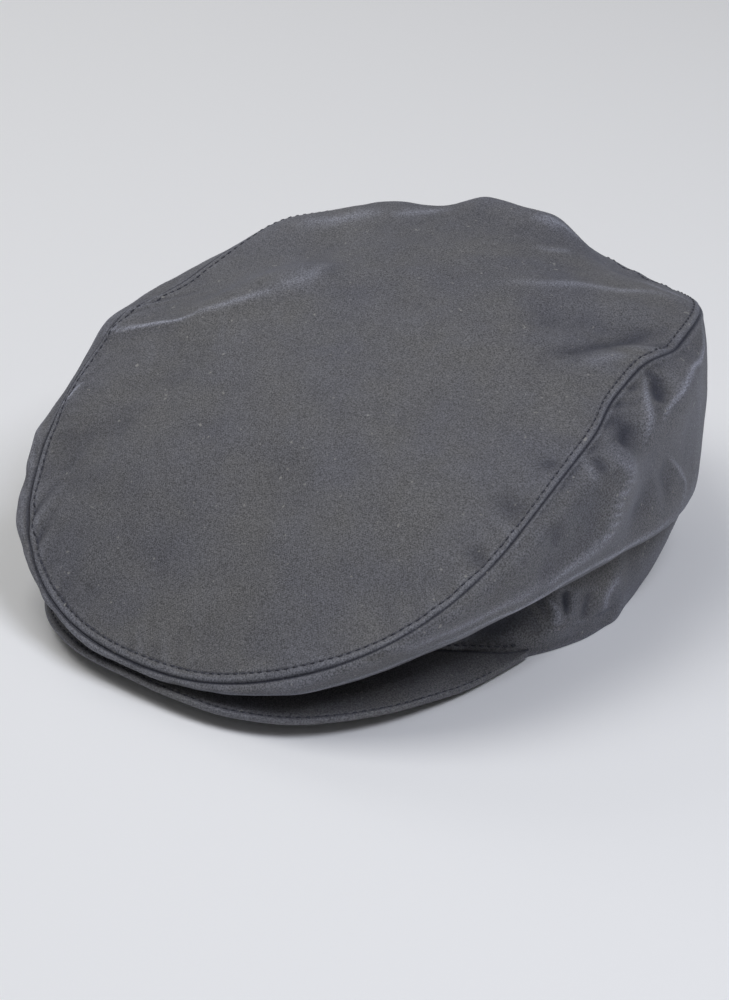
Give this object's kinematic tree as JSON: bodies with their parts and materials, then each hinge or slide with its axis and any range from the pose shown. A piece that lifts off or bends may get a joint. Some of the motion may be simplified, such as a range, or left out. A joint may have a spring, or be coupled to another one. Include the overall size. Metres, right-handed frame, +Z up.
{
  "type": "waxed cotton flat cap",
  "caption": "Soft flat cap of dark waxed cotton lying on its rim: domed top panel, bulging side panels over the open head hollow, stiff curved peak in front.",
  "frame": {"origin": "under the middle of the cap, on the surface that it lies on", "axes": "+Z up, -Y to the front of the peak, +X to the wearer's left"},
  "size_m": [0.2294, 0.2816, 0.1173],
  "materials": {
    "waxed_cotton": "matte waxed cotton, charcoal with a blue cast, soft sheen on the folds",
    "sewing_thread": "matte polyester thread, near black"
  },
  "bodies": {
    "root": {"top_panel": "waxed_cotton", "side_panel_left": "waxed_cotton", "side_panel_right": "waxed_cotton", "peak": "waxed_cotton"}
  },
  "joints": []
}
